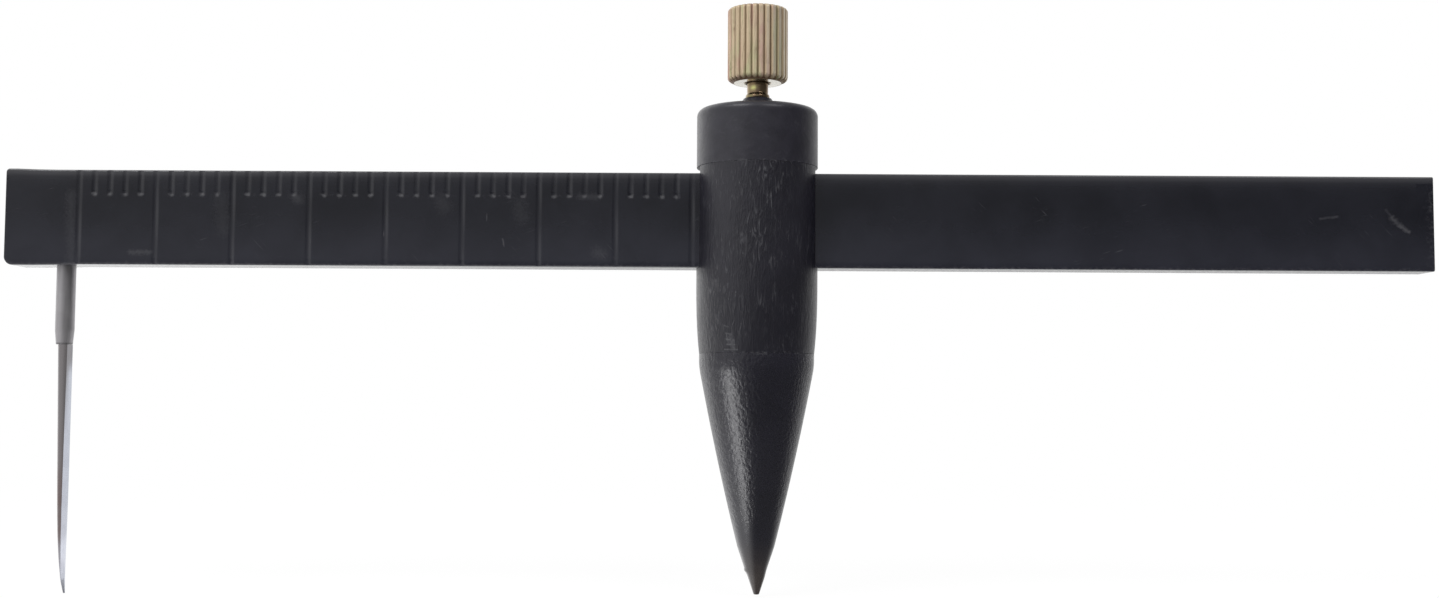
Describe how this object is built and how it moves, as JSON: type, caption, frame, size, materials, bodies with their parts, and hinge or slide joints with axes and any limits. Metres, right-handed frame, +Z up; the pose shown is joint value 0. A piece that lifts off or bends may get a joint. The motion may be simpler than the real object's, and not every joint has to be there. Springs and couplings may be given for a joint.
{
  "type": "clay circle cutter",
  "caption": "Circle cutter for clay: a pointed centre post, a graduated beam that slides through it and carries a small blade, and a knurled screw in the post's head that clamps the beam.",
  "frame": {"origin": "tip of the centre point, on the post's axis", "axes": "+X along the beam from the blade towards the bare end, +Z up the post from the point to the knob, -Y towards the engraved scale and the cutting edge"},
  "size_m": [0.1863, 0.016, 0.0774],
  "materials": {
    "beam_plastic": "satin",
    "barrel_plastic": "matte",
    "nose_plastic": "satin",
    "cap_plastic": "satin",
    "zinc_steel": "satin",
    "sleeve_steel": "satin",
    "blade_steel": "polished",
    "insert_brass": "satin"
  },
  "bodies": {
    "post": {"post_barrel": "barrel_plastic", "point_cone": "nose_plastic", "head_cap": "cap_plastic", "threaded_insert": "insert_brass"},
    "beam_unit": {"beam": "beam_plastic", "blade_sleeve": "sleeve_steel", "blade": "blade_steel"},
    "screw_stud": {"clamp_stud": "zinc_steel"},
    "screw_knob": {"clamp_knob": "zinc_steel"}
  },
  "joints": [
    {"name": "beam_slide", "type": "slide", "parent": "post", "child": "beam_unit", "axis": [1, 0, 0], "range_m": [-0.08, 0.0813]},
    {"name": "screw_lift", "type": "slide", "parent": "post", "child": "screw_stud", "axis": [0, 0, 1], "range_m": [0, 0.003]},
    {"name": "screw_turn", "type": "hinge", "parent": "screw_stud", "child": "screw_knob", "pos_m": [0, 0, 0.0672], "axis": [0, 0, 1], "range_deg": [0, 2160.5]}
  ],
  "couplings": [
    {"joint": "screw_turn", "follows": "screw_lift", "rad_per_m": 12566}
  ]
}
